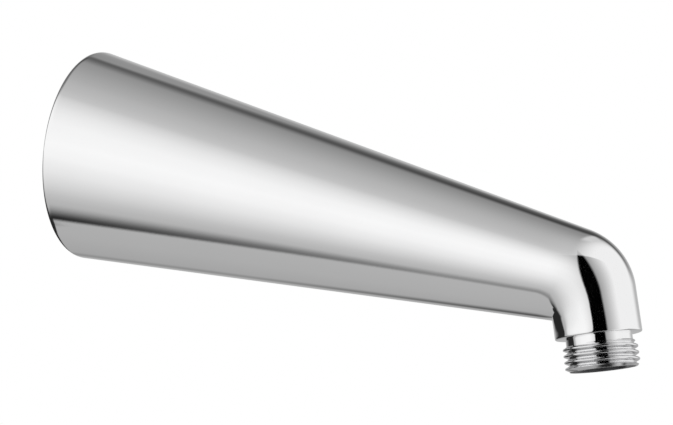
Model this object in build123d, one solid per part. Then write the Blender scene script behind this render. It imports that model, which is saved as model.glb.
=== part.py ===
from build123d import *
from math import atan, atan2, cos, radians, sin, sqrt, tan
import os

# One-piece cast shower arm. Millimetres, +Z up, +X out of the wall, origin where the arm's axis meets the wall.

# Arm: a cone that stands square on the wall, its underside level
base_d = 67.0
cross_d = 26.6
arm_len = 164.0
rim_round = 0.8

# Elbow: from the level underside into an outlet that leans out from the vertical
outlet_lean = radians(15.0)
bend_drop = 5.5
crease_from = 0.6
outer_round = 20.0
elbow_steps = 6
section_points = 40

# Outlet: plain end with a shoulder, a neck and the pipe thread's outer cylinder
outlet_d = 24.4
shoulder_drop = 16.4
shoulder_round = 0.4
pipe_thread_d = 20.955
pipe_root_d = 18.631
neck_len = 2.0
spigot_thread_len = 7.4
spigot_chamfer = 0.9

# Water way and the threaded inlet
water_d = 13.0
inlet_setback = 2.0
inlet_thread_len = 15.0
inlet_chamfer = 1.2

# Hollow back: skirt, tube round the water way and the inlet's boss
skirt_t = 3.0
tube_wall = 3.5
boss_wall = 3.0
boss_floor = 4.0
boss_chamfer = 2.5
hollow_depth = 110.0
hollow_round = 2.5
overcut = 12.0

base_r = base_d / 2
outlet_r = outlet_d / 2
half_angle = atan((base_d - cross_d) / 2 / arm_len)
taper = tan(half_angle)
arm_dir = Vector(cos(half_angle), 0, -sin(half_angle))
out_dir = Vector(sin(outlet_lean), 0, -cos(outlet_lean))
out_side = Vector(cos(outlet_lean), 0, sin(outlet_lean))
axes_cross = arm_dir * arm_len

# Outline of the cone in the wall plane, and how it closes to its tip
base_top_z = base_r * cos(half_angle) / cos(2 * half_angle)
underside_z = -base_r * cos(half_angle)
base_half_width = base_r / sqrt(1 - taper**4)
tip_x = base_r * cos(half_angle) / taper

# The elbow's sections turn about a line below the underside, as far from it as from the outlet's side
below_cross = axes_cross - out_side * (outlet_r + bend_drop)
elbow_drop = (below_cross.Z - underside_z + bend_drop) / cos(outlet_lean)
pivot = below_cross + out_dir * elbow_drop
elbow_turn = radians(90) - outlet_lean

# Outer outline of the elbow: the cone's top line, an arc and the outlet's outer line
top_point = Vector(0, 0, base_top_z)
top_inward = Vector(-sin(2 * half_angle), 0, -cos(2 * half_angle))
side_point = axes_cross + out_side * outlet_r
arc_start = side_point - out_side * outer_round
arc_slide = (outer_round - top_inward.dot(arc_start - top_point)) / top_inward.dot(out_dir)
arc_centre = arc_start + out_dir * arc_slide
arc_from = arc_centre - top_inward * outer_round - pivot
arc_to = arc_centre + out_side * outer_round - pivot


def outer_reach(angle):
    """Distance from the pivot to the elbow's outer outline, the angle measured from upright."""
    ray = Vector(sin(angle), 0, cos(angle))
    if angle < atan2(arc_from.X, arc_from.Z):
        return top_inward.dot(top_point - pivot) / top_inward.dot(ray)
    if angle > atan2(arc_to.X, arc_to.Z):
        return out_side.dot(side_point - pivot) / out_side.dot(ray)
    to_centre = arc_centre - pivot
    along = ray.dot(to_centre)
    return along + sqrt(along**2 - to_centre.dot(to_centre) + outer_round**2)


def across(share):
    """Half width of the elbow across the bend, easing from the cone's into the outlet's."""
    start = base_half_width * (1 - pivot.X / tip_x)
    start_slope = -(outer_reach(0) + bend_drop) / 2 * base_half_width / tip_x * elbow_turn
    keep = 2 * share**3 - 3 * share**2 + 1
    lead = share**3 - 2 * share**2 + share
    return keep * start + lead * start_slope + (1 - keep) * outlet_r


def elbow_section(share):
    """One section of the elbow: an oval whose foot is drawn up to the sharp inside corner."""
    angle = share * elbow_turn
    ray = Vector(sin(angle), 0, cos(angle))
    ahead = Vector(cos(angle), 0, -sin(angle))
    half_width = across(share)
    half_height = (outer_reach(angle) - bend_drop) / 2
    place = Plane(pivot + ray * (bend_drop + half_height), x_dir=ray, z_dir=ahead)
    if share in (0, 1):
        return place * Ellipse(half_height, half_width)
    lift = bend_drop / cos(min(angle, elbow_turn - angle)) - bend_drop
    points = []
    for count in range(section_points):
        turn = radians(360) * count / section_points
        low = max(-cos(turn) - crease_from, 0) / (1 - crease_from)
        points.append((half_height * cos(turn) + lift * low**2, half_width * sin(turn)))
    return place * make_face(Spline(*points, periodic=True))


def elbow_half(start, end):
    """The elbow between two shares of its turn."""
    shares = [start + (end - start) * step / elbow_steps for step in range(elbow_steps + 1)]
    return loft([elbow_section(share) for share in shares])


def cone_along_arm(start, end, inset):
    """The arm's own cone between two places on its axis, drawn in by an inset."""
    shrink = inset / cos(half_angle)
    start_r = base_r - start * taper - shrink
    end_r = base_r - end * taper - shrink
    place = Plane(arm_dir * start, z_dir=arm_dir)
    return place * Cone(start_r, end_r, end - start, align=(Align.CENTER, Align.CENTER, Align.MIN))


def rod(start, direction, radius, length):
    """A round bar from a point along a direction."""
    place = Plane(start, z_dir=direction)
    return place * Cylinder(radius, length, align=(Align.CENTER, Align.CENTER, Align.MIN))


wall_plane = Plane.YZ
elbow_plane = Plane.YZ.offset(pivot.X)

arm = cone_along_arm(-overcut, arm_len, 0)
arm = split(arm, bisect_by=wall_plane, keep=Keep.TOP)
arm = split(arm, bisect_by=elbow_plane, keep=Keep.BOTTOM)
arm = fillet(arm.edges().group_by(Axis.X)[0], rim_round)

elbow = elbow_half(0, 0.5) + elbow_half(0.5, 1)

outlet = rod(axes_cross + out_dir * elbow_drop, out_dir, outlet_r, shoulder_drop - elbow_drop)
outlet = fillet(outlet.edges().sort_by(Axis(axes_cross, out_dir))[-1], shoulder_round)

neck_start = axes_cross + out_dir * shoulder_drop
thread_start = neck_start + out_dir * neck_len
neck = rod(neck_start, out_dir, pipe_root_d / 2, neck_len)
thread = rod(thread_start, out_dir, pipe_thread_d / 2, spigot_thread_len)
thread = chamfer(thread.edges().filter_by(GeomType.CIRCLE), spigot_chamfer)

body = arm + elbow + outlet + neck + thread

# Hollow back, open to the wall
boss_r = pipe_thread_d / 2 + boss_wall
boss_len = inlet_thread_len + boss_floor
boss = rod(Vector(inlet_setback, 0, 0), Vector(1, 0, 0), boss_r, boss_len)
boss = chamfer(boss.edges().filter_by(GeomType.CIRCLE).sort_by(Axis.X)[-1], boss_chamfer)
tube_r = water_d / 2 + tube_wall
hollow = cone_along_arm(-overcut, hollow_depth, skirt_t)
hollow = hollow - rod(arm_dir * -overcut, arm_dir, tube_r, hollow_depth + overcut)
floor_edges = hollow.edges().filter_by(GeomType.CIRCLE).sort_by(Axis((0, 0, 0), arm_dir))[-2:]
hollow = fillet(floor_edges, hollow_round)
mouth = cone_along_arm(-overcut, overcut, skirt_t)
mouth = split(mouth, bisect_by=wall_plane.offset(inlet_setback), keep=Keep.BOTTOM)
body = body - (hollow - boss) - mouth

# Water way: threaded inlet, a straight run to the elbow, a round turn and out through the spigot
inlet_mouth = Vector(inlet_setback, 0, 0)
inlet = rod(inlet_mouth, Vector(1, 0, 0), pipe_root_d / 2, inlet_thread_len)
lead_in_r = pipe_root_d / 2 + inlet_chamfer
lead_in = Cone(lead_in_r, lead_in_r - inlet_chamfer, inlet_chamfer, align=(Align.CENTER, Align.CENTER, Align.MIN))
inlet = inlet + Plane(inlet_mouth, z_dir=(1, 0, 0)) * lead_in
run_start = arm_dir * inlet_thread_len
water_run = rod(run_start, arm_dir, water_d / 2, arm_len - inlet_thread_len)
water_turn = Pos(axes_cross) * Sphere(water_d / 2)
water_out = rod(axes_cross, out_dir, water_d / 2, shoulder_drop + neck_len + spigot_thread_len)
body = body - inlet - (water_run + water_turn + water_out)

os.makedirs("parts", exist_ok=True)
export_step(body, "parts/shower_arm.step")
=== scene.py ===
"""Looks of a one-piece chrome shower arm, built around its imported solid."""

import logging
import math
from dataclasses import dataclass, field
from enum import Enum

import bmesh
import bpy
from mathutils import Matrix, Vector

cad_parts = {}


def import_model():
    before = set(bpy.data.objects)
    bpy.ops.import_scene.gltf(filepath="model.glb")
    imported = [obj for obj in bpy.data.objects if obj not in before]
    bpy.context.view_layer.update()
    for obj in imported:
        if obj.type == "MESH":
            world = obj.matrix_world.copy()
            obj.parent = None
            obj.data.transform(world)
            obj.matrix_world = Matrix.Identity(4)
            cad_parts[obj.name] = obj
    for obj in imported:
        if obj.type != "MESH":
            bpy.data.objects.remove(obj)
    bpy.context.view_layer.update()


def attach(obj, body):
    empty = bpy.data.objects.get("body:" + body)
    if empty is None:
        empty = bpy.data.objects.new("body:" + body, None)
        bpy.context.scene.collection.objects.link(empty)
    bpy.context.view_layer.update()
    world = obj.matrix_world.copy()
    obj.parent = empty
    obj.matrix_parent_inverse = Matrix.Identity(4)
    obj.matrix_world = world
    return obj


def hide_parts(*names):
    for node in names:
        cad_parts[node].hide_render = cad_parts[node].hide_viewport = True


MM = 0.001
NODE = "shower_arm"
BODY = "root"
CREASE_ANGLE = math.radians(32.0)
# How far the two rings of a flat face stand apart along their axis, in millimetres
DRAFT = 0.02
# How near to a cutting plane a vertex counts as on it, in metres
CUT_TOLERANCE = 1e-7

Socket = bpy.types.NodeSocket
Value = Socket | float
Pair = tuple[float, float]
Triple = tuple[float, float, float]

log = logging.getLogger("shower_arm")


class Coat(Enum):
    """Which of the arm's finishes a face carries; the value is its material slot."""

    CHROME = 0
    CAST = 1
    THREAD = 2
    # Dull metal on the spigot's end face and in the water way, darkened as painted shade inside the bore
    BORE = 3


class Turn(Enum):
    """Whether a pipe thread stands out of a spigot or into a socket."""

    OUTSIDE = 1
    INSIDE = -1


@dataclass(frozen=True)
class Ring:
    """One closed oval of the casting's skin, in millimetres.

    The skin runs from ring to ring in one closed chain: out along the cone and the elbow, in through
    the spigot, back along the water way and round the hollow back to the rim.
    """

    centre: Vector
    upright: Vector
    across: Vector
    coat: Coat = Coat.CHROME
    soften: float = 0.0
    lift: float = 0.0

    def matrix(self) -> Matrix:
        """Places a unit circle as this oval.

        Returns:
            The placing matrix, in metres.
        """
        facing = self.across.cross(self.upright).normalized()
        columns = Matrix((self.across * MM, self.upright * MM, facing)).transposed().to_4x4()
        columns.translation = self.centre * MM
        return columns


@dataclass(frozen=True)
class ArmSizes:
    """The arm's sizes in millimetres and radians.

    They are those of its solid, but for a rounder rim and a hollow whose depth is measured from the wall.
    The small rounds and lead-ins at the end of the list are the scene's own.
    """

    base_d: float = 67.0
    cross_d: float = 26.6
    arm_len: float = 164.0
    rim_round: float = 1.5
    lean: float = math.radians(15.0)
    bend_drop: float = 5.5
    crease_from: float = 0.6
    outer_round: float = 20.0
    outlet_d: float = 24.4
    shoulder_drop: float = 16.4
    shoulder_round: float = 0.4
    pipe_d: float = 20.955
    pipe_root_d: float = 18.631
    pitch: float = 25.4 / 14
    neck_len: float = 2.0
    spigot_len: float = 7.4
    spigot_chamfer: float = 0.9
    water_d: float = 13.0
    inlet_setback: float = 2.0
    inlet_len: float = 15.0
    skirt: float = 3.0
    tube_wall: float = 3.5
    boss_wall: float = 3.0
    boss_floor: float = 4.0
    boss_chamfer: float = 2.5
    hollow_depth: float = 109.0
    hollow_round: float = 2.5
    rim_inner_round: float = 0.3
    outlet_lead: float = 0.3
    spigot_end_round: float = 0.25
    water_edge_round: float = 0.3
    water_bend_share: float = 0.7
    water_floor_run: float = 1.5
    inlet_lead: float = 0.6
    boss_edge_round: float = 0.5
    boss_chamfer_round: float = 0.6
    tube_lead: float = 1.6
    socket_lead: float = 0.3
    socket_short: float = 1.0
    socket_run_out: float = 0.9

    @property
    def half_angle(self) -> float:
        """The cone's half angle, by which its axis falls so that the underside is level."""
        return math.atan((self.base_d - self.cross_d) / 2 / self.arm_len)

    @property
    def arm_dir(self) -> Vector:
        """The direction of the cone's axis."""
        return Vector((math.cos(self.half_angle), 0, -math.sin(self.half_angle)))

    @property
    def out_dir(self) -> Vector:
        """The direction in which the outlet points."""
        return Vector((math.sin(self.lean), 0, -math.cos(self.lean)))

    @property
    def out_side(self) -> Vector:
        """The outlet's side away from the wall."""
        return Vector((math.cos(self.lean), 0, math.sin(self.lean)))

    @property
    def cross(self) -> Vector:
        """Where the cone's axis and the outlet's axis cross."""
        return self.arm_dir * self.arm_len

    @property
    def spigot_end(self) -> float:
        """Distance of the spigot's end below the crossing of the axes."""
        return self.shoulder_drop + self.neck_len + self.spigot_len

    @property
    def inlet_floor(self) -> float:
        """Distance of the inlet's floor from the wall."""
        return self.inlet_setback + self.inlet_len

    @property
    def boss_end(self) -> float:
        """Distance of the boss's far end from the wall."""
        return self.inlet_floor + self.boss_floor

    @property
    def underside(self) -> float:
        """Height of the level underside."""
        return -self.base_d / 2 * math.cos(self.half_angle)

    @property
    def tip_x(self) -> float:
        """Distance from the wall at which the cone would close."""
        return self.base_d / 2 * math.cos(self.half_angle) / math.tan(self.half_angle)

    def top(self, x: float) -> float:
        """Height of the cone's top line at a distance from the wall."""
        wall_top = self.base_d / 2 * math.cos(self.half_angle) / math.cos(2 * self.half_angle)
        return self.underside + (wall_top - self.underside) * (1 - x / self.tip_x)

    def half_width(self, x: float) -> float:
        """Half width of the cone at a distance from the wall."""
        return self.base_d / 2 * (1 - x / self.tip_x)


@dataclass
class Elbow:
    """The rounded turn between the cone and the outlet, as ovals that fan about one line."""

    sizes: ArmSizes
    steps: int = 84
    drop: float = field(init=False)
    pivot: Vector = field(init=False)
    top_inward: Vector = field(init=False)
    top_point: Vector = field(init=False)
    side_point: Vector = field(init=False)
    arc_centre: Vector = field(init=False)

    def __post_init__(self) -> None:
        """Finds the line that the ovals turn about and the centre of the outer arc."""
        s = self.sizes
        below = s.cross - s.out_side * (s.outlet_d / 2 + s.bend_drop)
        self.drop = (below.z - s.underside + s.bend_drop) / math.cos(s.lean)
        self.pivot = below + s.out_dir * self.drop
        self.top_inward = Vector((-math.sin(2 * s.half_angle), 0, -math.cos(2 * s.half_angle)))
        self.top_point = Vector((0, 0, s.top(0)))
        self.side_point = s.cross + s.out_side * (s.outlet_d / 2)
        start = self.side_point - s.out_side * s.outer_round
        slide = s.outer_round - self.top_inward.dot(start - self.top_point)
        self.arc_centre = start + s.out_dir * (slide / self.top_inward.dot(s.out_dir))

    @property
    def turn(self) -> float:
        """The angle through which the ovals turn."""
        return math.pi / 2 - self.sizes.lean

    def reach(self, angle: float) -> float:
        """Distance from the turning line to the outer outline.

        Args:
            angle: direction of sight from the turning line, from upright.

        Returns:
            The distance in millimetres.
        """
        s = self.sizes
        ray = Vector((math.sin(angle), 0, math.cos(angle)))
        arc_from = self.arc_centre - self.top_inward * s.outer_round - self.pivot
        arc_to = self.arc_centre + s.out_side * s.outer_round - self.pivot
        if angle < math.atan2(arc_from.x, arc_from.z):
            return self.top_inward.dot(self.top_point - self.pivot) / self.top_inward.dot(ray)
        if angle > math.atan2(arc_to.x, arc_to.z):
            return s.out_side.dot(self.side_point - self.pivot) / s.out_side.dot(ray)
        to_centre = self.arc_centre - self.pivot
        along = ray.dot(to_centre)
        return along + math.sqrt(along**2 - to_centre.length_squared + s.outer_round**2)

    def across(self, share: float) -> float:
        """Half width across the bend, easing from the cone's into the outlet's.

        Args:
            share: how far round the bend, from 0 to 1.

        Returns:
            The half width in millimetres.
        """
        s = self.sizes
        slope = -(self.reach(0) + s.bend_drop) / 2 * s.half_width(0) / s.tip_x * self.turn
        keep = 2 * share**3 - 3 * share**2 + 1
        lead = share**3 - 2 * share**2 + share
        return keep * s.half_width(self.pivot.x) + lead * slope + (1 - keep) * s.outlet_d / 2

    def rings(self) -> list[Ring]:
        """The ovals of the bend.

        Returns:
            The ovals, from the cone's end to the outlet's start.
        """
        s = self.sizes
        found = []
        for step in range(self.steps + 1):
            share = step / self.steps
            angle = share * self.turn
            ray = Vector((math.sin(angle), 0, math.cos(angle)))
            half_height = (self.reach(angle) - s.bend_drop) / 2
            centre = self.pivot + ray * (s.bend_drop + half_height)
            lift = s.bend_drop / math.cos(min(angle, self.turn - angle)) - s.bend_drop
            found.append(Ring(centre, ray * half_height, Vector((0, self.across(share), 0)), lift=lift))
        return found


class Piece:
    """A piece of the arm that rides on its body."""

    def build(self) -> bpy.types.Object:
        """Makes the piece's mesh."""
        raise NotImplementedError

    def dress(self, finishes: list[bpy.types.Material]) -> None:
        """Builds the piece, gives it its finishes and ties it to the arm's body.

        Args:
            finishes: the materials, in the order of the coats.
        """
        piece = self.build()
        for finish in finishes:
            piece.data.materials.append(finish)
        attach(piece, BODY)
        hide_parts(NODE)
        log.info("%s: %d faces", piece.name, len(piece.data.polygons))


@dataclass
class Casting(Piece):
    """The whole casting as one closed skin, chrome outside, bare metal in the hollow back and a bore
    darkened as painted shade.
    """

    sizes: ArmSizes
    segments: int = 176
    bend_steps: int = 14
    edge_steps: int = 5
    cone_places: tuple[float, ...] = (
        2.2, 5, 10, 18, 28, 40, 54, 68, 82, 96, 110, 122, 132, 140, 146, 150,
    )
    hollow_places: tuple[float, ...] = (80, 50, 20, 3)

    def cone_ring(self, x: float, inset: float = 0.0, coat: Coat = Coat.CHROME,
                  soften: float = 0.0) -> Ring:
        """An oval of the cone, parallel to the wall.

        Args:
            x: distance from the wall.
            inset: how far inside the cone's outer face.
            coat: finish of the faces that follow the ring.
            soften: radius by which the ring's edge is rounded.

        Returns:
            The oval.
        """
        s = self.sizes
        middle = Vector((x, 0, (s.top(x) + s.underside) / 2))
        upright = Vector((0, 0, (s.top(x) - s.underside) / 2 - inset))
        across = Vector((0, s.half_width(x) - inset, 0))
        return Ring(middle, upright, across, coat, soften)

    def round_ring(self, centre: Vector, upright: Vector, radius: float, coat: Coat = Coat.CHROME,
                   soften: float = 0.0) -> Ring:
        """A circle across an axis that lies in the arm's upright plane.

        Args:
            centre: the circle's middle.
            upright: unit vector in the upright plane, across the axis.
            radius: the circle's radius.
            coat: finish of the faces that follow the ring.
            soften: radius by which the ring's edge is rounded.

        Returns:
            The circle.
        """
        return Ring(centre, upright * radius, Vector((0, radius, 0)), coat, soften)

    def outside(self) -> list[Ring]:
        """Rings of the cone, the elbow, the outlet and the spigot's core.

        Returns:
            The rings, from the rim to the spigot's end.
        """
        s = self.sizes
        elbow = Elbow(s)
        rings = [self.cone_ring(0, soften=s.rim_round)]
        rings += [self.cone_ring(x) for x in self.cone_places if x < elbow.pivot.x]
        rings += elbow.rings()
        outlet = (elbow.drop + s.outlet_lead, s.shoulder_drop - 2 * s.shoulder_round)
        rings += [self.outlet_ring(distance, s.outlet_d / 2) for distance in outlet]
        rings.append(self.outlet_ring(s.shoulder_drop, s.outlet_d / 2, soften=s.shoulder_round))
        core = s.pipe_root_d / 2
        neck = (s.shoulder_drop + DRAFT, s.shoulder_drop + s.neck_len)
        rings += [self.outlet_ring(distance, core) for distance in neck]
        # The spigot's end face takes the bore's coat, whose dark colour is painted shade
        rings.append(self.outlet_ring(s.spigot_end, core, Coat.BORE, s.spigot_end_round))
        return rings

    def outlet_ring(self, distance: float, radius: float, coat: Coat = Coat.CHROME,
                    soften: float = 0.0) -> Ring:
        """A circle across the outlet's axis, at a distance below the crossing of the axes."""
        s = self.sizes
        return self.round_ring(s.cross + s.out_dir * distance, s.out_side, radius, coat, soften)

    def water_way(self) -> list[Ring]:
        """Rings of the water way.

        Returns:
            The rings, from the spigot's end back to the inlet's floor.
        """
        s = self.sizes
        radius = s.water_d / 2
        bend_r = s.water_d * s.water_bend_share
        turn = math.pi / 2 - s.lean - s.half_angle
        tangent = bend_r * math.tan(turn / 2)
        # The water way takes the bore's coat, whose dark colour is painted shade
        rings = [
            self.outlet_ring(s.spigot_end - DRAFT, radius, Coat.BORE, s.water_edge_round),
            self.outlet_ring(tangent, radius, Coat.BORE),
        ]
        side = Vector((math.sin(s.half_angle), 0, math.cos(s.half_angle)))
        middle = s.cross - s.arm_dir * tangent - side * bend_r
        for step in range(self.bend_steps - 1, 0, -1):
            angle = turn * step / self.bend_steps
            ray = side * math.cos(angle) + s.arm_dir * math.sin(angle)
            rings.append(self.round_ring(middle + ray * bend_r, ray, radius, Coat.BORE))
        for distance in (s.arm_len - tangent, s.arm_len / 2, s.inlet_floor + s.water_floor_run):
            rings.append(self.round_ring(s.arm_dir * distance, side, radius, Coat.BORE))
        return rings

    def inlet(self) -> list[Ring]:
        """Rings of the threaded socket and the boss round it.

        Returns:
            The rings, from the socket's floor to the tube.
        """
        s = self.sizes
        up = Vector((0, 0, 1))
        mouth = s.inlet_setback
        socket = s.pipe_d / 2
        boss = socket + s.boss_wall
        steps = (
            (s.inlet_floor - DRAFT, socket, 0.0),
            (mouth + s.inlet_lead, socket, 0.0),
            (mouth, socket + s.inlet_lead, 0.0),
            (mouth + DRAFT, boss, s.boss_edge_round),
            (s.boss_end - s.boss_chamfer, boss, s.boss_chamfer_round),
            (s.boss_end, boss - s.boss_chamfer, 0.0),
        )
        rings = [self.tube_ring(s.inlet_floor, s.water_d / 2)]
        for x, radius, soften in steps:
            rings.append(self.round_ring(Vector((x, 0, 0)), up, radius, Coat.CAST, soften))
        return rings

    def hollow(self) -> list[Ring]:
        """Rings of the hollow back.

        Returns:
            The rings, from the tube round the floor to the rim's inner edge.
        """
        s = self.sizes
        tube = s.water_d / 2 + s.tube_wall
        rings = [self.tube_ring(x, tube) for x in (s.boss_end + s.tube_lead, s.hollow_depth / 2)]
        rings.append(self.tube_ring(s.hollow_depth, tube, s.hollow_round))
        rings.append(self.cone_ring(s.hollow_depth - DRAFT, s.skirt, Coat.CAST, s.hollow_round))
        rings += [self.cone_ring(x, s.skirt, Coat.CAST) for x in self.hollow_places]
        rings.append(self.cone_ring(DRAFT, s.skirt, Coat.CHROME, s.rim_inner_round))
        return rings

    def tube_ring(self, x: float, radius: float, soften: float = 0.0) -> Ring:
        """An oval round the water way's axis, parallel to the wall.

        Args:
            x: distance from the wall.
            radius: radius across the axis.
            soften: radius by which the ring's edge is rounded.

        Returns:
            The oval.
        """
        s = self.sizes
        centre = Vector((x, 0, -x * math.tan(s.half_angle)))
        upright = Vector((0, 0, radius / math.cos(s.half_angle)))
        return Ring(centre, upright, Vector((0, radius, 0)), Coat.CAST, soften)

    def draw_up(self, ring: Ring, verts: list[bmesh.types.BMVert]) -> None:
        """Draws the foot of one oval up to the sharp inside corner of the elbow.

        Args:
            ring: the oval, with its lift.
            verts: the oval's vertices.
        """
        crease = self.sizes.crease_from
        up = ring.upright.normalized()
        for vert in verts:
            low = -(vert.co / MM - ring.centre).dot(up) / ring.upright.length
            share = max(low - crease, 0.0) / (1 - crease)
            vert.co += up * (ring.lift * share**2 * MM)

    def build(self) -> bpy.types.Object:
        """Joins the rings into one closed skin.

        Returns:
            The casting's object, each face's material index set by its coat.
        """
        rings = self.outside() + self.water_way() + self.inlet() + self.hollow()
        bm = bmesh.new()
        loops = []
        for ring in rings:
            made = bmesh.ops.create_circle(bm, segments=self.segments, radius=1.0, matrix=ring.matrix())
            loops.append(list(dict.fromkeys(edge for vert in made["verts"] for edge in vert.link_edges)))
            self.draw_up(ring, made["verts"])
        for index, ring in enumerate(rings):
            following = loops[(index + 1) % len(loops)]
            skin = bmesh.ops.bridge_loops(bm, edges=loops[index] + following)
            for face in skin["faces"]:
                face.material_index = ring.coat.value
        bmesh.ops.recalc_face_normals(bm, faces=bm.faces)
        for ring, loop in zip(rings, loops):
            if ring.soften:
                bmesh.ops.bevel(bm, geom=loop, offset=ring.soften * MM, segments=self.edge_steps,
                                profile=0.5, affect="EDGES", material=-1)
        return finish_mesh(bm, "arm_casting")


@dataclass
class PipeThread(Piece):
    """A pipe thread as one helical ridge, run out at both ends.

    Lengths are in millimetres. The ridge's half widths are shares of half the pitch, from its sunk foot up
    to its crest.
    """

    name: str
    origin: Vector
    axis: Vector
    side: Vector
    length: float
    run_out: float
    core_r: float
    crest_r: float
    pitch: float
    turn: Turn
    coat: Coat
    steps_per_turn: int = 120
    spare_turns: int = 2
    sunk: float = 0.12
    crest_shy: float = 0.11
    foot_half: float = 0.94
    root_half: float = 0.90
    shoulder_half: float = 0.32
    crest_half: float = 0.12

    @classmethod
    def on_spigot(cls, sizes: ArmSizes) -> "PipeThread":
        """The thread outside the spigot.

        Args:
            sizes: the arm's sizes.

        Returns:
            The thread.
        """
        start = sizes.cross + sizes.out_dir * (sizes.shoulder_drop + sizes.neck_len)
        return cls(
            name="spigot_thread", origin=start, axis=sizes.out_dir, side=sizes.out_side,
            length=sizes.spigot_len, run_out=sizes.spigot_chamfer, core_r=sizes.pipe_root_d / 2,
            crest_r=sizes.pipe_d / 2, pitch=sizes.pitch, turn=Turn.OUTSIDE, coat=Coat.THREAD,
        )

    @classmethod
    def in_socket(cls, sizes: ArmSizes) -> "PipeThread":
        """The thread inside the inlet's socket.

        Args:
            sizes: the arm's sizes.

        Returns:
            The thread.
        """
        start = Vector((sizes.inlet_setback + sizes.socket_lead, 0, 0))
        return cls(
            name="inlet_thread", origin=start, axis=Vector((1, 0, 0)), side=Vector((0, 0, 1)),
            length=sizes.inlet_len - sizes.socket_short, run_out=sizes.socket_run_out,
            core_r=sizes.pipe_d / 2, crest_r=sizes.pipe_root_d / 2, pitch=sizes.pitch,
            turn=Turn.INSIDE, coat=Coat.CAST,
        )

    def profile(self) -> list[Pair]:
        """The ridge's section.

        Returns:
            Places along the axis and radii, in millimetres.
        """
        foot = self.core_r - self.turn.value * self.sunk
        shy = self.crest_r - self.turn.value * self.crest_shy
        half = self.pitch / 2
        shape = (
            (-self.foot_half, foot),
            (-self.root_half, self.core_r),
            (-self.shoulder_half, shy),
            (-self.crest_half, self.crest_r),
        )
        mirrored = [(-place, radius) for place, radius in reversed(shape)]
        return [(place * half, radius) for place, radius in (*shape, *mirrored)]

    def limit(self, distance: float) -> float:
        """How far the ridge may stand, so that it runs out at both ends.

        Args:
            distance: place along the axis.

        Returns:
            The height from its foot, in millimetres.
        """
        nearest = min(distance, self.length - distance)
        full = abs(self.crest_r - self.core_r)
        return full - max(0.0, self.run_out - nearest)

    def build(self) -> bpy.types.Object:
        """Winds the ridge and trims it to its run-outs.

        Returns:
            The thread's object.
        """
        bm = bmesh.new()
        start = self.origin - self.axis * (self.pitch * self.spare_turns / 2)
        verts = []
        for along, radius in self.profile():
            verts.append(bm.verts.new((start + self.axis * along + self.side * radius) * MM))
        edges = [bm.edges.new((a, b)) for a, b in zip(verts, verts[1:] + verts[:1])]
        turns = self.length / self.pitch + self.spare_turns
        steps = round(turns * self.steps_per_turn)
        angle = -turns * 2 * math.pi
        made = bmesh.ops.spin(bm, geom=verts + edges, cent=start * MM, axis=self.axis, angle=angle,
                              steps=steps, dvec=self.axis * (self.pitch * turns / steps * MM))
        last = [item for item in made["geom_last"] if isinstance(item, bmesh.types.BMEdge)]
        bmesh.ops.contextual_create(bm, geom=edges)
        bmesh.ops.contextual_create(bm, geom=last)
        for vert in bm.verts:
            self.hold(vert)
        for distance, facing in ((0.0, -1), (self.length, 1)):
            place = (self.origin + self.axis * distance) * MM
            cut = bmesh.ops.bisect_plane(bm, geom=[*bm.verts, *bm.edges, *bm.faces], dist=CUT_TOLERANCE,
                                         plane_co=place, plane_no=self.axis * facing, clear_outer=True)
            rim = [item for item in cut["geom_cut"] if isinstance(item, bmesh.types.BMEdge)]
            bmesh.ops.holes_fill(bm, edges=rim, sides=0)
        bmesh.ops.recalc_face_normals(bm, faces=bm.faces)
        for face in bm.faces:
            face.material_index = self.coat.value
        return finish_mesh(bm, self.name)

    def hold(self, vert: bmesh.types.BMVert) -> None:
        """Keeps a vertex of the ridge within the run-out at its place along the axis.

        Args:
            vert: the vertex, moved where it stands too far.
        """
        offset = vert.co / MM - self.origin
        distance = offset.dot(self.axis)
        radial = offset - self.axis * distance
        stand = (radial.length - self.core_r) * self.turn.value
        allowed = max(self.limit(distance), -self.sunk)
        if stand > allowed:
            radius = self.core_r + self.turn.value * allowed
            vert.co = (self.origin + self.axis * distance + radial.normalized() * radius) * MM


def finish_mesh(bm: bmesh.types.BMesh, name: str) -> bpy.types.Object:
    """Turns a finished bmesh into an object at the origin, smooth but for its real edges.

    Args:
        bm: the mesh, in metres, freed afterwards.
        name: the piece's name.

    Returns:
        The new object, linked to the scene.
    """
    if bm.calc_volume(signed=True) < 0:
        bmesh.ops.reverse_faces(bm, faces=bm.faces)
    for face in bm.faces:
        face.smooth = True
    for edge in bm.edges:
        if len(edge.link_faces) == 2:
            edge.smooth = edge.calc_face_angle() < CREASE_ANGLE
    mesh = bpy.data.meshes.new(name)
    bm.to_mesh(mesh)
    bm.free()
    piece = bpy.data.objects.new(name, mesh)
    bpy.context.scene.collection.objects.link(piece)
    return piece


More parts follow.
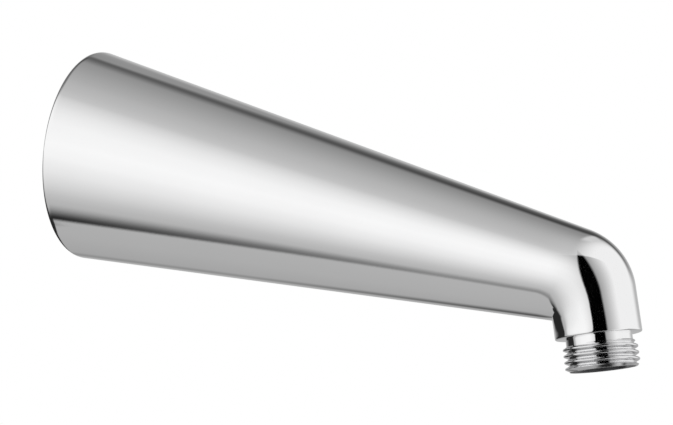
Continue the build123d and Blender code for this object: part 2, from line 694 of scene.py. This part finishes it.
def wander_group() -> bpy.types.ShaderNodeTree:
    """The slow and fine unevenness that polishing and casting leave, shared by the finishes.

    Returns:
        A node group with a Value between Low and High and a Height for bump.
    """
    group = bpy.data.node_groups.new("surface_wander", "ShaderNodeTree")
    sockets = (("Scale", 60.0), ("Low", 0.0), ("High", 1.0), ("Fine Scale", 900.0), ("Fine Share", 0.2))
    for name, default in sockets:
        socket = group.interface.new_socket(name, in_out="INPUT", socket_type="NodeSocketFloat")
        socket.default_value = default
    for name in ("Value", "Height"):
        group.interface.new_socket(name, in_out="OUTPUT", socket_type="NodeSocketFloat")
    nodes, links = group.nodes, group.links
    given = nodes.new("NodeGroupInput")
    result = nodes.new("NodeGroupOutput")
    place = nodes.new("ShaderNodeTexCoord")
    slow = nodes.new("ShaderNodeTexNoise")
    slow.inputs["Detail"].default_value = 3.0
    fine = nodes.new("ShaderNodeTexNoise")
    fine.inputs["Detail"].default_value = 2.0
    spread = nodes.new("ShaderNodeMapRange")
    spread.inputs["From Min"].default_value = 0.3
    spread.inputs["From Max"].default_value = 0.7
    blend = nodes.new("ShaderNodeMix")
    links.new(place.outputs["Object"], slow.inputs["Vector"])
    links.new(place.outputs["Object"], fine.inputs["Vector"])
    links.new(given.outputs["Scale"], slow.inputs["Scale"])
    links.new(given.outputs["Fine Scale"], fine.inputs["Scale"])
    links.new(slow.outputs["Fac"], spread.inputs["Value"])
    links.new(given.outputs["Low"], spread.inputs["To Min"])
    links.new(given.outputs["High"], spread.inputs["To Max"])
    links.new(given.outputs["Fine Share"], blend.inputs["Factor"])
    links.new(slow.outputs["Fac"], blend.inputs["A"])
    links.new(fine.outputs["Fac"], blend.inputs["B"])
    links.new(spread.outputs["Result"], result.inputs["Value"])
    links.new(blend.outputs["Result"], result.inputs["Height"])
    return group


@dataclass(frozen=True)
class MetalFinish:
    """A metal surface: its colour, its gloss and how uneven it is."""

    name: str
    colour: Triple
    stain: Triple
    smooth: float
    dull: float
    slow_scale: float
    fine_scale: float
    fine_share: float
    bump: float
    bump_depth: float

    def material(self, wander: bpy.types.ShaderNodeTree) -> bpy.types.Material:
        """Makes the finish's material.

        Args:
            wander: the shared unevenness group.

        Returns:
            The material, on Object coordinates.
        """
        made = bpy.data.materials.new(self.name)
        made.use_nodes = True
        nodes, links = made.node_tree.nodes, made.node_tree.links
        shader = nodes["Principled BSDF"]
        shader.inputs["Metallic"].default_value = 1.0
        uneven = nodes.new("ShaderNodeGroup")
        uneven.node_tree = wander
        settings = {
            "Scale": self.slow_scale, "Low": self.smooth, "High": self.dull,
            "Fine Scale": self.fine_scale, "Fine Share": self.fine_share,
        }
        for name, number in settings.items():
            uneven.inputs[name].default_value = number
        tint = nodes.new("ShaderNodeMix")
        tint.data_type = "RGBA"
        tint.inputs["A"].default_value = (*self.colour, 1.0)
        tint.inputs["B"].default_value = (*self.stain, 1.0)
        bump = nodes.new("ShaderNodeBump")
        bump.inputs["Strength"].default_value = self.bump
        bump.inputs["Distance"].default_value = self.bump_depth
        links.new(uneven.outputs["Height"], tint.inputs["Factor"])
        links.new(tint.outputs["Result"], shader.inputs["Base Color"])
        links.new(uneven.outputs["Value"], shader.inputs["Roughness"])
        links.new(uneven.outputs["Height"], bump.inputs["Height"])
        links.new(bump.outputs["Normal"], shader.inputs["Normal"])
        return made


FINISHES = {
    Coat.CHROME: MetalFinish(
        name="polished_chrome", colour=(0.905, 0.905, 0.907), stain=(0.875, 0.875, 0.878), smooth=0.02,
        dull=0.05, slow_scale=55.0, fine_scale=1400.0, fine_share=0.15, bump=0.04, bump_depth=0.0004,
    ),
    Coat.CAST: MetalFinish(
        name="bare_cast_brass", colour=(0.62, 0.47, 0.24), stain=(0.44, 0.31, 0.15), smooth=0.38,
        dull=0.62, slow_scale=90.0, fine_scale=1500.0, fine_share=0.6, bump=0.35, bump_depth=0.0006,
    ),
    Coat.THREAD: MetalFinish(
        name="plated_thread", colour=(0.80, 0.80, 0.805), stain=(0.72, 0.72, 0.725), smooth=0.06,
        dull=0.14, slow_scale=120.0, fine_scale=1800.0, fine_share=0.35, bump=0.08, bump_depth=0.0004,
    ),
    # Rough metal whose colour is darkened far below bare metal: painted shade on the spigot's end face and
    # in the bore
    Coat.BORE: MetalFinish(
        name="dull_bore_painted_shade", colour=(0.11, 0.11, 0.115), stain=(0.07, 0.07, 0.075), smooth=0.35,
        dull=0.55, slow_scale=140.0, fine_scale=1500.0, fine_share=0.5, bump=0.15, bump_depth=0.0004,
    ),
}


@dataclass(frozen=True)
class PhotoCamera:
    """The camera at the photograph's place, in metres and pixels."""

    place: Triple = (0.196450, -0.357016, -0.060425)
    right: Triple = (0.948951, 0.275122, 0.154276)
    up: Triple = (-0.108624, -0.174148, 0.978710)
    back: Triple = (0.296131, -0.945505, -0.135373)
    focal_px: float = 1236.737
    width_px: float = 673.0
    sensor_mm: float = 36.0
    nearest: float = 0.01

    def build(self) -> None:
        """Adds the camera and makes it the scene's own."""
        data = bpy.data.cameras.new("photo_camera")
        data.sensor_fit = "HORIZONTAL"
        data.sensor_width = self.sensor_mm
        data.lens = self.focal_px / self.width_px * self.sensor_mm
        data.clip_start = self.nearest
        camera = bpy.data.objects.new("photo_camera", data)
        bpy.context.scene.collection.objects.link(camera)
        turned = Matrix((self.right, self.up, self.back)).transposed().to_4x4()
        turned.translation = Vector(self.place)
        camera.matrix_world = turned
        bpy.context.scene.camera = camera


class Wiring:
    """Adds nodes to one shader tree and joins them."""

    def __init__(self, tree: bpy.types.ShaderNodeTree) -> None:
        """Keeps the tree that the nodes go into."""
        self.tree = tree

    def add(self, kind: str) -> bpy.types.Node:
        """Adds one node."""
        return self.tree.nodes.new(kind)

    def feed(self, socket: Socket, value: Value) -> None:
        """Joins a socket to another one, or sets it to a number.

        Args:
            socket: the socket that takes the value.
            value: the other socket or the number.
        """
        if isinstance(value, Socket):
            self.tree.links.new(value, socket)
        else:
            socket.default_value = value

    def math(self, operation: str, first: Value, second: Value = 0.0) -> Socket:
        """Adds a sum, product or other function of two values.

        Args:
            operation: the Math node's operation.
            first: its first value.
            second: its second value.

        Returns:
            The result's socket.
        """
        node = self.add("ShaderNodeMath")
        node.operation = operation
        self.feed(node.inputs[0], first)
        self.feed(node.inputs[1], second)
        return node.outputs["Value"]

    def times(self, first: Socket, *others: Value) -> Socket:
        """Adds the product of several values.

        Args:
            first: the first value.
            others: the values it is multiplied by, in order.

        Returns:
            The product's socket.
        """
        product = first
        for other in others:
            product = self.math("MULTIPLY", product, other)
        return product

    def ease(self, value: Value, low: float, high: float, start: float = 0.0, end: float = 1.0) -> Socket:
        """Adds a smooth change between two levels.

        Args:
            value: the value that drives the change.
            low: where the change begins.
            high: where it ends.
            start: the level before it.
            end: the level after it.

        Returns:
            The level's socket.
        """
        result = self.slide(value, (low, high), (start, end))
        result.node.interpolation_type = "SMOOTHSTEP"
        return result

    def slide(self, value: Value, span: Pair, levels: Pair) -> Socket:
        """Adds an even change between two levels over a span of the value.

        Args:
            value: the value that drives the change.
            span: where the change begins and ends.
            levels: the levels at the two ends.

        Returns:
            The level's socket.
        """
        node = self.add("ShaderNodeMapRange")
        self.feed(node.inputs["Value"], value)
        for name, number in zip(("From Min", "From Max", "To Min", "To Max"), (*span, *levels)):
            node.inputs[name].default_value = number
        return node.outputs["Result"]

    def ramp(self, value: Socket, stops: list[Pair]) -> Socket:
        """Adds a grey ramp.

        Args:
            value: the place on the ramp, from 0 to 1.
            stops: the ramp's places and levels, in order.

        Returns:
            The level's socket.
        """
        node = self.add("ShaderNodeValToRGB")
        elements = node.color_ramp.elements
        while len(elements) < len(stops):
            elements.new(0.5)
        for element, (place, level) in zip(elements, stops):
            element.position = place
            element.color = (level, level, level, 1.0)
        self.feed(node.inputs["Fac"], value)
        return node.outputs["Color"]

    def mix(self, share: Socket, first: Value, second: Value) -> Socket:
        """Adds a blend of two values by a share.

        Args:
            share: how much of the second value.
            first: the first value.
            second: the second value.

        Returns:
            The blend's socket.
        """
        node = self.add("ShaderNodeMix")
        self.feed(node.inputs["Factor"], share)
        self.feed(node.inputs["A"], first)
        self.feed(node.inputs["B"], second)
        return node.outputs["Result"]


def ramp_place(angle: float) -> float:
    """An angle round the arm, in degrees, as a place on a ramp from 0 to 1."""
    return (angle + 180.0) / 360.0


@dataclass(frozen=True)
class Tone:
    """The brightness of the studio at an angle round the arm, as it shows on screen from 0 to 1.

    The angle is in degrees round the wall's normal: 0 is in front, 90 overhead, 180 behind, -90 below.
    """

    angle: float
    level: float

    def linear(self) -> float:
        """The brightness as light, by the screen's own curve."""
        return ((self.level + 0.055) / 1.055) ** 2.4


@dataclass(frozen=True)
class Step:
    """A smooth change between two levels, over a span of angle or of the part along the arm."""

    begin: float
    finish: float
    start: float = 0.0
    end: float = 1.0

    def add(self, wiring: Wiring, value: Socket) -> Socket:
        """Adds the change, driven by a value."""
        return wiring.ease(value, self.begin, self.finish, self.start, self.end)


@dataclass(frozen=True)
class Patch:
    """A soft-edged place in the studio, bounded by angles round the arm and by parts along it."""

    angles: tuple[Step, ...]
    parts: tuple[Step, ...] = ()

    def mask(self, wiring: Wiring, angle: Socket, along: Socket) -> Socket:
        """Adds the place's mask.

        Args:
            wiring: the world's tree.
            angle: the direction's angle round the arm.
            along: the direction's part along the arm.

        Returns:
            The mask's socket.
        """
        steps = [step.add(wiring, angle) for step in self.angles]
        return wiring.times(*steps, *(step.add(wiring, along) for step in self.parts))


@dataclass(frozen=True)
class SoftLine:
    """A dark line across the studio, such as the gap at a table's edge.

    It runs from left to right, leaning by its slope, and each pair gives a value at the two ends of its
    span. Angles and widths are in degrees round the arm.
    """

    angle: float
    slope: float
    below: float
    above: Pair
    depth: Pair
    span: Pair


@dataclass
class StudioLight:
    """A large soft light in front, greyer walls above and below, and dark gaps between them.

    A tilt is an angle and the degrees by which the tones there lean along the arm. The outward light is a
    pale wall past the arm's end. A lean is a span and the shift at its two ends.
    """

    strength: float = 1.10
    tones: tuple[Tone, ...] = (
        Tone(-180, 0.70), Tone(-168, 0.67), Tone(-150, 0.64), Tone(-130, 0.66), Tone(-110, 0.68),
        Tone(-85, 0.69), Tone(-62, 0.695), Tone(-54, 0.72), Tone(-48, 0.755), Tone(-40, 0.82),
        Tone(-28, 0.905), Tone(-14, 0.962), Tone(0, 0.98), Tone(14, 0.962), Tone(27, 0.905),
        Tone(37, 0.84), Tone(44, 0.77), Tone(54, 0.735), Tone(66, 0.705), Tone(90, 0.62),
        Tone(98, 0.59), Tone(108, 0.55), Tone(138, 0.57), Tone(146, 0.66), Tone(152, 0.73),
        Tone(162, 0.75), Tone(180, 0.71),
    )
    tilts: tuple[Pair, ...] = (
        (-180, 0), (-90, 0), (-75, -18), (-58, -20), (-44, -16),
        (-20, -2), (5, 0), (30, 37), (48, 37), (75, 0),
    )
    tilt_span: float = 50.0
    lines: tuple[SoftLine, ...] = (
        SoftLine(angle=-60.4, slope=55, below=5.5, above=(19, 9), depth=(0.95, 0.42), span=(-0.45, -0.12)),
        SoftLine(angle=122.8, slope=22, below=15, above=(8, 45), depth=(0.60, 0.80), span=(-0.30, 0.05)),
        SoftLine(angle=-141.5, slope=36, below=12, above=(11, 18), depth=(0.30, 0.82), span=(-0.35, -0.12)),
    )
    line_start: Step = Step(-0.70, -0.55)
    outward: Step = Step(0.14, 0.50)
    outward_behind: Step = Step(125, 150, 0.0, 0.26)
    overhead: Patch = Patch((Step(76, 98, 0.0, 0.55), Step(132, 118)), (Step(0.165, 0.235),))
    ground: Patch = Patch((Step(-178, -150), Step(-95, -120)))
    low_right: Patch = Patch((Step(-52, -72), Step(-150, -130)), (Step(-0.02, 0.25), Step(0.75, 0.45)))
    high_left: Patch = Patch((Step(50, 75, 0.0, 0.6), Step(136, 118)), (Step(-0.31, -0.40),))
    left_edge: Step = Step(-0.45, -0.49)
    left_edge_lean: tuple[Pair, ...] = ((-115, -95), (0.07, 0.0))
    left_top: Step = Step(-76, -96)
    left_top_lean: tuple[Pair, ...] = ((-0.98, -0.86), (22, 0))
    left_back: Step = Step(-183, -165)
    end_tone: float = 0.945
    dark: float = 0.02

    def line_group(self) -> bpy.types.ShaderNodeTree:
        """The mask of a line, sharp below its middle and soft above.

        Returns:
            The node group.
        """
        group = bpy.data.node_groups.new("soft_line", "ShaderNodeTree")
        for name in ("Angle", "Middle", "Below", "Above"):
            group.interface.new_socket(name, in_out="INPUT", socket_type="NodeSocketFloat")
        group.interface.new_socket("Mask", in_out="OUTPUT", socket_type="NodeSocketFloat")
        wiring = Wiring(group)
        given = wiring.add("NodeGroupInput").outputs
        result = wiring.add("NodeGroupOutput")
        off = wiring.math("SUBTRACT", given["Angle"], given["Middle"])
        over = wiring.ease(wiring.math("DIVIDE", off, given["Above"]), 0.0, 1.0, 1.0, 0.0)
        under = wiring.ease(wiring.math("DIVIDE", off, given["Below"]), -1.0, 0.0)
        wiring.feed(result.inputs["Mask"], wiring.times(over, under))
        return group

    def darken(self, wiring: Wiring, level: Socket, angle: Socket, along: Socket) -> Socket:
        """Draws the dark lines across the studio.

        Args:
            wiring: the world's tree.
            level: the brightness so far.
            angle: the direction's angle round the arm.
            along: the direction's part along the arm.

        Returns:
            The brightness with the lines in it.
        """
        group = self.line_group()
        inside = self.line_start.add(wiring, along)
        for line in self.lines:
            mask = wiring.add("ShaderNodeGroup")
            mask.node_tree = group
            wiring.feed(mask.inputs["Angle"], angle)
            middle = wiring.math("ADD", wiring.times(along, line.slope), line.angle)
            wiring.feed(mask.inputs["Middle"], middle)
            wiring.feed(mask.inputs["Below"], line.below)
            wiring.feed(mask.inputs["Above"], wiring.slide(along, line.span, line.above))
            depth = wiring.times(wiring.slide(along, line.span, line.depth), inside)
            dark = wiring.times(mask.outputs["Mask"], depth)
            level = wiring.times(level, wiring.math("SUBTRACT", 1.0, dark))
        return level

    def place(self, wiring: Wiring, angle: Socket) -> Socket:
        """Adds the angle's place on a ramp from 0 to 1."""
        return wiring.math("DIVIDE", wiring.math("ADD", angle, 180.0), 360.0)

    def tilted(self, wiring: Wiring, angle: Socket, along: Socket) -> Socket:
        """Leans the angle by the studio's tilts.

        Args:
            wiring: the world's tree.
            angle: the direction's angle round the arm.
            along: the direction's part along the arm.

        Returns:
            The leaning angle's socket.
        """
        stops = [(ramp_place(at), tilt / self.tilt_span / 2 + 0.5) for at, tilt in self.tilts]
        tilt = wiring.math("SUBTRACT", wiring.ramp(self.place(wiring, angle), stops), 0.5)
        return wiring.math("ADD", angle, wiring.times(tilt, self.tilt_span * 2, along))

    def level(self, wiring: Wiring) -> Socket:
        """Adds the nodes that give the studio's brightness by direction.

        Args:
            wiring: the world's tree.

        Returns:
            The brightness socket.
        """
        towards = wiring.add("ShaderNodeTexCoord").outputs["Generated"]
        split = wiring.add("ShaderNodeSeparateXYZ")
        wiring.feed(split.inputs["Vector"], towards)
        along = split.outputs["X"]
        front = wiring.times(split.outputs["Y"], -1.0)
        angle = wiring.math("DEGREES", wiring.math("ARCTAN2", split.outputs["Z"], front))
        stops = [(ramp_place(tone.angle), tone.linear()) for tone in self.tones]
        level = wiring.ramp(self.place(wiring, self.tilted(wiring, angle, along)), stops)
        level = self.darken(wiring, level, angle, along)
        behind = self.outward_behind.add(wiring, wiring.math("ABSOLUTE", angle))
        outward = self.outward.add(wiring, wiring.math("SUBTRACT", along, behind))
        outward = wiring.math("MAXIMUM", outward, self.overhead.mask(wiring, angle, along))
        above_ground = wiring.math("SUBTRACT", 1.0, self.ground.mask(wiring, angle, along))
        outward = wiring.times(outward, above_ground)
        level = wiring.mix(outward, level, Tone(0, self.end_tone).linear())
        for shade in self.shades(wiring, angle, along):
            level = wiring.mix(shade, level, self.dark)
        return level

    def shades(self, wiring: Wiring, angle: Socket, along: Socket) -> list[Socket]:
        """Adds the masks of the dark places: low on the left, low on the right and high on the left.

        Args:
            wiring: the world's tree.
            angle: the direction's angle round the arm.
            along: the direction's part along the arm.

        Returns:
            The masks.
        """
        edge = wiring.math("ADD", along, wiring.slide(angle, *self.left_edge_lean))
        top = wiring.math("ADD", angle, wiring.slide(along, *self.left_top_lean))
        low_left = wiring.times(self.left_edge.add(wiring, edge), self.left_top.add(wiring, top),
                                self.left_back.add(wiring, angle))
        others = [patch.mask(wiring, angle, along) for patch in (self.low_right, self.high_left)]
        return [low_left, *others]

    def build(self) -> None:
        """Makes the world: white to the camera, and the studio to everything else."""
        world = bpy.data.worlds.new("studio_world")
        world.use_nodes = True
        wiring = Wiring(world.node_tree)
        studio = world.node_tree.nodes["Background"]
        wiring.feed(studio.inputs["Color"], self.level(wiring))
        studio.inputs["Strength"].default_value = self.strength
        plain = wiring.add("ShaderNodeBackground")
        plain.inputs["Color"].default_value = (1.0, 1.0, 1.0, 1.0)
        choose = wiring.add("ShaderNodeMixShader")
        wiring.feed(choose.inputs["Fac"], wiring.add("ShaderNodeLightPath").outputs["Is Camera Ray"])
        wiring.feed(choose.inputs[1], studio.outputs["Background"])
        wiring.feed(choose.inputs[2], plain.outputs["Background"])
        wiring.feed(world.node_tree.nodes["World Output"].inputs["Surface"], choose.outputs["Shader"])
        bpy.context.scene.world = world


@dataclass(frozen=True)
class Border:
    """A leaning border of a studio card, past which its black clears.

    A share of the black clears at once, within the soft width, and the rest over the fade. The border lies
    where its shares of the distances across and upward, in millimetres, add up to the start.
    """

    across: float
    upward: float
    start: float
    soft: float
    share: float
    fade: float

    def clear(self, wiring: Wiring, x: Socket, z: Socket) -> Socket:
        """Adds the share of black that has cleared past the border.

        Args:
            wiring: the card's tree.
            x: the place across, in metres.
            z: the height, in metres.

        Returns:
            The cleared share.
        """
        past = wiring.math("ADD", wiring.times(x, self.across / MM), wiring.times(z, self.upward / MM))
        at_once = wiring.ease(past, self.start, self.start + self.soft, 0.0, self.share)
        left = wiring.slide(past, (self.start, self.start + self.fade), (1.0, 0.0))
        slowly = wiring.math("SUBTRACT", 1.0, wiring.times(left, left))
        return wiring.math("ADD", at_once, wiring.times(slowly, 1.0 - self.share))


@dataclass(frozen=True)
class Card:
    """An upright studio card that only shows in the polished metal, in millimetres."""

    name: str
    left: float
    bottom: float
    right: float
    top: float
    depth: float
    borders: tuple[Border, ...]

    def build(self) -> None:
        """Makes the card and its material."""
        bm = bmesh.new()
        middle = Vector(((self.left + self.right) / 2, self.depth, (self.bottom + self.top) / 2))
        half_width = (self.right - self.left) / 2 * MM
        half_height = (self.top - self.bottom) / 2 * MM
        size = Matrix.Diagonal((half_width, half_height, 1.0, 1.0))
        turn = Matrix.Rotation(math.pi / 2, 4, "X")
        bmesh.ops.create_grid(bm, x_segments=1, y_segments=1, size=1.0,
                              matrix=Matrix.Translation(middle * MM) @ turn @ size)
        card = finish_mesh(bm, self.name)
        card.visible_camera = False
        card.visible_diffuse = False
        card.visible_shadow = False
        card.data.materials.append(self.material())

    def material(self) -> bpy.types.Material:
        """Black that clears past each of the card's borders.

        Returns:
            The material, on Object coordinates.
        """
        made = bpy.data.materials.new(self.name)
        made.use_nodes = True
        wiring = Wiring(made.node_tree)
        split = wiring.add("ShaderNodeSeparateXYZ")
        wiring.feed(split.inputs["Vector"], wiring.add("ShaderNodeTexCoord").outputs["Object"])
        tone = wiring.add("ShaderNodeEmission")
        tone.inputs["Strength"].default_value = 0.0
        clear = wiring.add("ShaderNodeBsdfTransparent")
        cleared = 0.0
        for border in self.borders:
            share = border.clear(wiring, split.outputs["X"], split.outputs["Z"])
            cleared = wiring.math("ADD", cleared, share)
        choose = wiring.add("ShaderNodeMixShader")
        wiring.feed(choose.inputs["Fac"], wiring.math("MINIMUM", cleared, 1.0))
        wiring.feed(choose.inputs[1], tone.outputs["Emission"])
        wiring.feed(choose.inputs[2], clear.outputs["BSDF"])
        wiring.feed(made.node_tree.nodes["Material Output"].inputs["Surface"], choose.outputs["Shader"])
        return made


@dataclass
class Studio:
    """A pale floor well below the arm, the soft light and a dark card in front of the outlet."""

    floor_height: float = -0.70
    floor_size: float = 6.0
    floor_lift: float = 0.45
    floor_tone: float = 0.9
    floor_rough: float = 0.9
    light: StudioLight = field(default_factory=StudioLight)
    card: Card = Card(
        name="dark_strip", left=154.0, bottom=-58.0, right=234.0, top=64.0, depth=-30.0,
        borders=(
            Border(across=-1.0, upward=0.08, start=-166.7, soft=1.2, share=0.72, fade=12.0),
            Border(across=1.0, upward=0.27, start=169.8, soft=3.4, share=0.35, fade=52.0),
            Border(across=-0.7, upward=1.0, start=-117.6, soft=2.5, share=0.66, fade=26.0),
        ),
    )

    def build(self) -> None:
        """Adds the floor, the card and the light."""
        bm = bmesh.new()
        bmesh.ops.create_grid(bm, x_segments=1, y_segments=1, size=self.floor_size / 2,
                              matrix=Matrix.Translation((0, 0, self.floor_height)))
        floor = finish_mesh(bm, "studio_floor")
        floor.data.materials.append(self.floor_material())
        floor.visible_glossy = False
        self.card.build()
        self.light.build()

    def floor_material(self) -> bpy.types.Material:
        """A matt white floor, lifted to plain white for the camera.

        Returns:
            The material.
        """
        made = bpy.data.materials.new("pale_floor")
        made.use_nodes = True
        wiring = Wiring(made.node_tree)
        pale = made.node_tree.nodes["Principled BSDF"]
        pale.inputs["Base Color"].default_value = (*[self.floor_tone] * 3, 1.0)
        pale.inputs["Roughness"].default_value = self.floor_rough
        pale.inputs["Emission Color"].default_value = (1.0, 1.0, 1.0, 1.0)
        seen = wiring.add("ShaderNodeLightPath").outputs["Is Camera Ray"]
        wiring.feed(pale.inputs["Emission Strength"], wiring.times(seen, self.floor_lift))
        return made


def main() -> None:
    """Builds the arm, its finishes, the studio and the camera."""
    logging.basicConfig(level=logging.INFO, format="%(message)s")
    sizes = ArmSizes()
    wander = wander_group()
    finishes = [FINISHES[coat].material(wander) for coat in Coat]
    for piece in (Casting(sizes), PipeThread.on_spigot(sizes), PipeThread.in_socket(sizes)):
        piece.dress(finishes)
    Studio().build()
    PhotoCamera().build()
    bpy.context.scene.view_settings.view_transform = "Standard"


if __name__ == "__main__":
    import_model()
    main()
